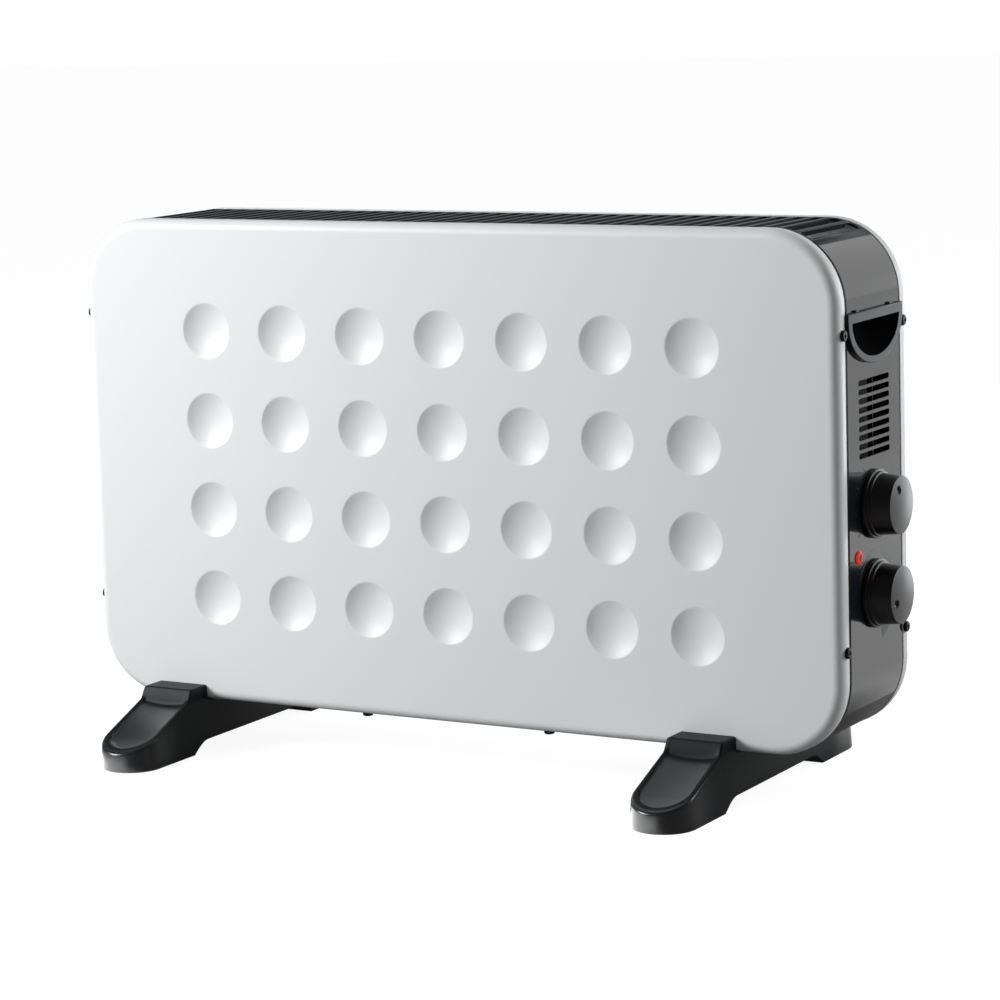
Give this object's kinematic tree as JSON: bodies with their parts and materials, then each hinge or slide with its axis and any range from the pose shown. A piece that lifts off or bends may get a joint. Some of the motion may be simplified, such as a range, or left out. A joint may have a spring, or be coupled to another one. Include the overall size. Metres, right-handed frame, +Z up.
{
  "type": "convector heater",
  "caption": "Free-standing convector heater: flat rounded body with a dimpled front, slotted top outlet, side knobs, recessed handles and two cross feet.",
  "frame": {"origin": "on the floor, under the middle of the heater's bounding box", "axes": "+X along the body's width towards the control side, +Y from the dimpled front panel to the rear panel, +Z up from the floor"},
  "size_m": [0.5506, 0.256, 0.343],
  "materials": {
    "silver_paint": "satin silver-white paint",
    "charcoal_paint": "high-gloss charcoal paint",
    "grille_paint": "gloss slate-black paint",
    "underside_paint": "semi-matt near-black paint",
    "black_plastic": "fine-grained satin black",
    "foot_plastic": "smooth satin black",
    "knob_plastic": "satin black with a soft grey sheen",
    "black_screw": "black oxide",
    "zinc_steel": "bright zinc plate",
    "bright_aluminium": "bright rolled",
    "mica_board": null,
    "heating_alloy": "oxidised resistance alloy",
    "white_ceramic": "unglazed off-white",
    "brass_contact": "plain brass",
    "bimetal": "bare bimetal",
    "rotor_plastic": "natural nylon",
    "red_lens": "clear red",
    "lamp_sleeve": "white nylon",
    "lead_insulation": "heat-proof sleeving",
    "earth_insulation": "green and yellow sleeving"
  },
  "bodies": {
    "heater": {"front_panel": "silver_paint", "rear_panel": "silver_paint", "control_side_panel": "charcoal_paint", "left_side_panel": "charcoal_paint", "top_grille": "grille_paint", "bottom_plate": "underside_paint", "right_handle_cup": "black_plastic", "left_handle_cup": "black_plastic", "cord_gland": "black_plastic", "clamp_base": "black_plastic", "clamp_bar": "black_plastic", "switch_housing": "black_plastic", "switch_cover": "black_plastic", "right_foot": "foot_plastic", "left_foot": "foot_plastic", "front_panel_screws": "black_screw", "rear_panel_screws": "black_screw", "foot_screws": "zinc_steel", "foot_nuts": "zinc_steel", "control_screws": "zinc_steel", "clamp_screws": "zinc_steel", "earth_screw": "zinc_steel", "partition_plate": "zinc_steel", "element_frame": "zinc_steel", "cutout_bracket": "zinc_steel", "thermostat_frame": "zinc_steel", "heat_reflector": "bright_aluminium", "thermal_cutout": "bright_aluminium", "element_boards": "mica_board", "heating_wire_low": "heating_alloy", "heating_wire_high": "heating_alloy", "terminal_insulators": "white_ceramic", "thermostat_base": "white_ceramic", "switch_terminals": "brass_contact", "terminal_pins": "brass_contact", "thermostat_contacts": "brass_contact", "thermostat_bimetal": "bimetal", "terminal_block": "rotor_plastic", "indicator_lens": "red_lens", "indicator_lamp": "lamp_sleeve", "control_leads": "lead_insulation", "cutout_leads": "lead_insulation", "earth_lead": "earth_insulation"},
    "selector": {"selector_knob": "knob_plastic", "selector_shaft": "zinc_steel", "selector_rotor": "rotor_plastic"},
    "thermostat": {"thermostat_knob": "knob_plastic", "thermostat_spindle": "zinc_steel"}
  },
  "joints": [
    {"name": "selector_turn", "type": "hinge", "parent": "heater", "child": "selector", "pos_m": [0.2563, 0, 0.1782], "axis": [1, 0, 0], "range_deg": [0, 90]},
    {"name": "thermostat_turn", "type": "hinge", "parent": "heater", "child": "thermostat", "pos_m": [0.2563, 0, 0.1247], "axis": [1, 0, 0], "range_deg": [-270, 0]}
  ]
}
